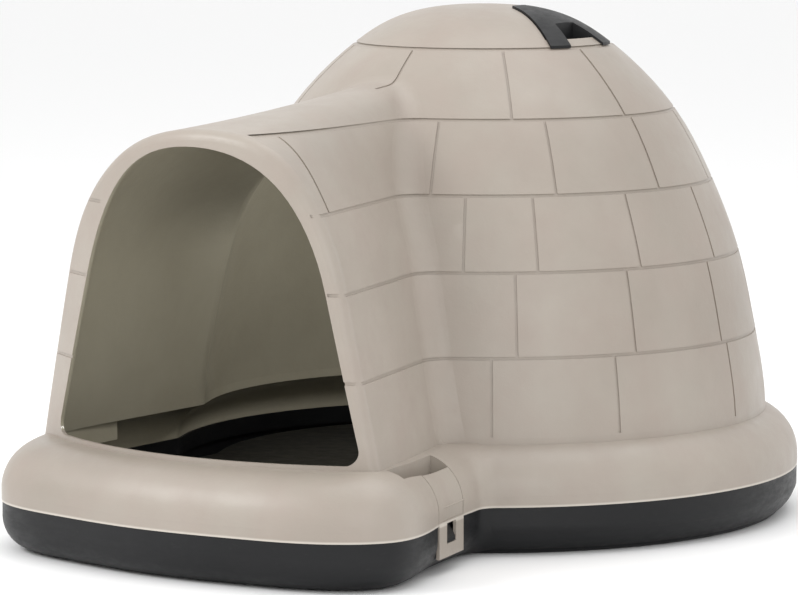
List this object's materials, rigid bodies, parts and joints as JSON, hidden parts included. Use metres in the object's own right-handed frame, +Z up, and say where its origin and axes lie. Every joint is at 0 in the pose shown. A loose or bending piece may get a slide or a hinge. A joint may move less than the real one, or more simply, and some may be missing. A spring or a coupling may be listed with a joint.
{
  "type": "igloo dog house",
  "caption": "Igloo dog house: a brick-grooved moulded dome with an arched entrance tunnel and rolled flange, snapped onto a black raised-floor base tray",
  "frame": {"origin": "on the floor under the middle of the footprint", "axes": "+Z up; the doorway faces -Y; +X is the right-hand side seen from the front, the side the crown vent is on"},
  "size_m": [0.822, 1.113, 0.6551],
  "materials": {
    "shell": "warm taupe moulded plastic with a soft sheen and faint mottling",
    "base": "black moulded plastic, semi-matt",
    "vent": "black moulded plastic, semi-matt"
  },
  "bodies": {
    "base": {"base_tray": "base"},
    "house": {"shell": "shell", "crown_vent": "vent"},
    "latch_r": {"latch_right": "shell"},
    "latch_l": {"latch_left": "shell"}
  },
  "joints": [
    {"name": "shell_lift", "type": "slide", "parent": "base", "child": "house", "axis": [0, 0, 1], "range_m": [0, 0.65], "deforming": ["latch_right", "latch_left"]},
    {"name": "latch_right_rock", "type": "hinge", "parent": "house", "child": "latch_r", "pos_m": [0.2651, -0.29133, 0.08], "axis": [0.2588, -0.9659, 0], "range_deg": [0, 7], "stiffness_Nm_per_rad": 3},
    {"name": "latch_left_rock", "type": "hinge", "parent": "house", "child": "latch_l", "pos_m": [-0.34071, -0.29016, 0.08], "axis": [-0.1063, 0.9943, 0], "range_deg": [0, 7], "stiffness_Nm_per_rad": 3}
  ]
}
